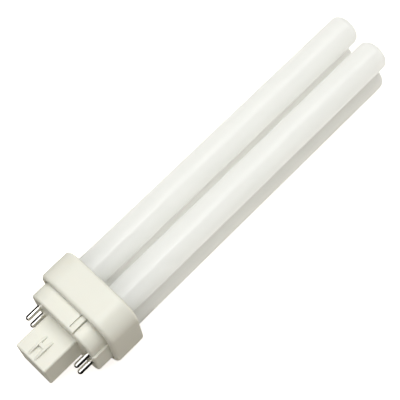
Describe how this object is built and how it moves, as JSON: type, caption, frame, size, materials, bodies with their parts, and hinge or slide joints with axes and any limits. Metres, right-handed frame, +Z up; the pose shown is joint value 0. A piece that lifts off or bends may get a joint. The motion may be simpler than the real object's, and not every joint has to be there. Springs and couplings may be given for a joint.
{
  "type": "compact fluorescent lamp",
  "caption": "U shaped compact fluorescent lamp: parallel white coated glass legs joined by bridges, in a cream plug-in cap with contact pins and a square post.",
  "frame": {"origin": "on the surface the lamp lies on, under the middle of its bounding box", "axes": "+X runs along the lamp from the plug post to the tips, which are lowered by 1.7 degrees as it rests on its collar and tips; +Z is up, the way its front face looks; +Y is to its left"},
  "size_m": [0.167, 0.0346, 0.0349],
  "materials": {
    "coated_glass": "glossy clear glass over an opaque white coating",
    "cap_plastic": "cream moulded plastic with a soft satin face",
    "plated_pin": "bright nickel plated brass",
    "cement": "dull white setting cement",
    "lead_wire": "drawn nickel iron wire"
  },
  "bodies": {
    "root": {"discharge_tube": "coated_glass", "tube_collar": "cap_plastic", "tube_cement": "cement", "cap_base": "cap_plastic", "contact_pin_1": "plated_pin", "contact_pin_2": "plated_pin", "contact_pin_3": "plated_pin", "contact_pin_4": "plated_pin", "lead_wire_1": "lead_wire", "lead_wire_2": "lead_wire", "lead_wire_3": "lead_wire", "lead_wire_4": "lead_wire"}
  },
  "joints": []
}
